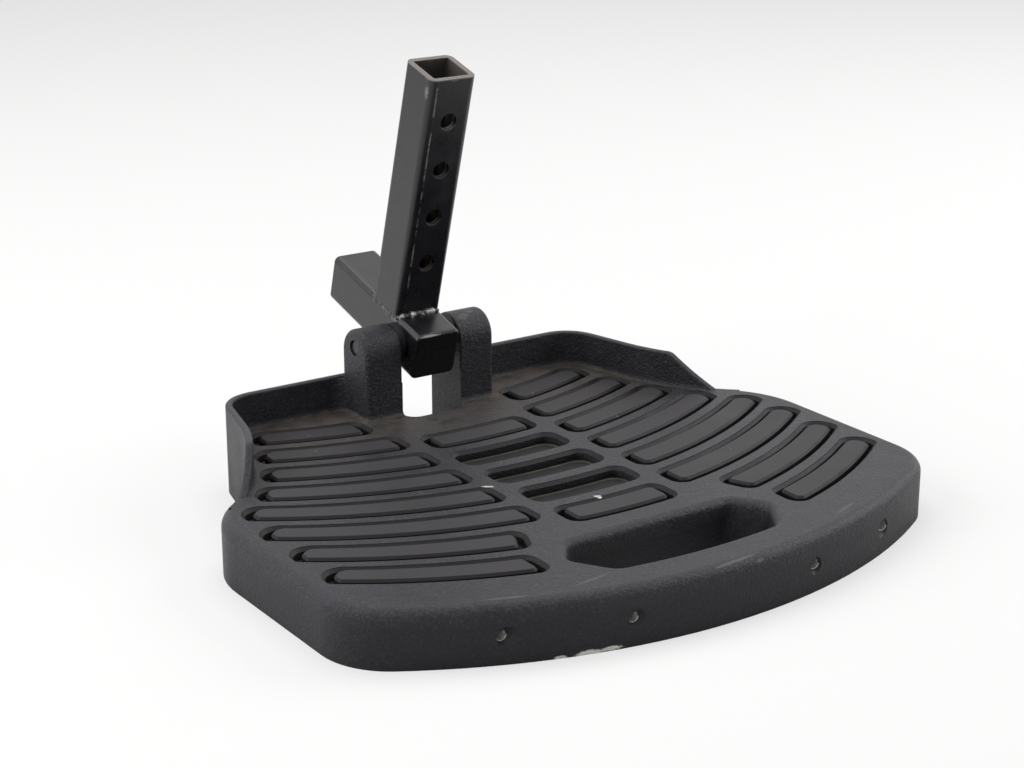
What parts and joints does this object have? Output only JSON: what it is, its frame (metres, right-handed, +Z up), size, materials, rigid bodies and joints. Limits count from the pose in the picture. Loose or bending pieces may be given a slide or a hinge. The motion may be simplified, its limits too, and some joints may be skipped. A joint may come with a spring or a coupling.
{
  "type": "foot platform",
  "caption": "Flip-up foot platform: a cast footplate with rubber tread bars, a heel wall and hinge ears, on a welded square-tube arm with a row of height holes.",
  "frame": {"origin": "on the floor, below the middle of the whole part's box", "axes": "+Z up; -Y towards the toe edge; +X to the right as seen from the toe edge, as left and right in the names"},
  "size_m": [0.322, 0.3218, 0.2058],
  "materials": {
    "cast_aluminium_black": "black textured powder coat",
    "tread_rubber": "matte moulded rubber",
    "painted_steel_tube": "satin black paint",
    "painted_weld": "painted weld bead, bare in spots",
    "bright_steel": "turned steel",
    "plug_plastic": "moulded black plastic",
    "bush_nylon": "moulded nylon"
  },
  "bodies": {
    "plate": {"footplate": "cast_aluminium_black", "hinge_pin": "bright_steel", "tread_bar_left_1": "tread_rubber", "tread_bar_left_2": "tread_rubber", "tread_bar_left_3": "tread_rubber", "tread_bar_left_4": "tread_rubber", "tread_bar_left_5": "tread_rubber", "tread_bar_left_6": "tread_rubber", "tread_bar_left_7": "tread_rubber", "tread_bar_left_8": "tread_rubber", "tread_bar_right_1": "tread_rubber", "tread_bar_right_2": "tread_rubber", "tread_bar_right_3": "tread_rubber", "tread_bar_right_4": "tread_rubber", "tread_bar_right_5": "tread_rubber", "tread_bar_right_6": "tread_rubber", "tread_bar_right_7": "tread_rubber", "tread_bar_right_8": "tread_rubber", "tread_bar_centre_rear": "tread_rubber", "tread_bar_centre_front": "tread_rubber"},
    "arm": {"stub_tube": "painted_steel_tube", "stub_front_plug": "plug_plastic", "stub_rear_plug": "plug_plastic", "post_tube": "painted_steel_tube", "post_weld": "painted_weld", "pivot_sleeve": "bright_steel", "bush_left": "bush_nylon", "bush_right": "bush_nylon", "stop_bar": "painted_steel_tube", "stop_bar_weld": "painted_weld"}
  },
  "joints": [
    {"name": "flip_hinge", "type": "hinge", "parent": "plate", "child": "arm", "pos_m": [0, 0.09212, 0.0623], "axis": [1, 0, 0], "range_deg": [0, 89]}
  ]
}
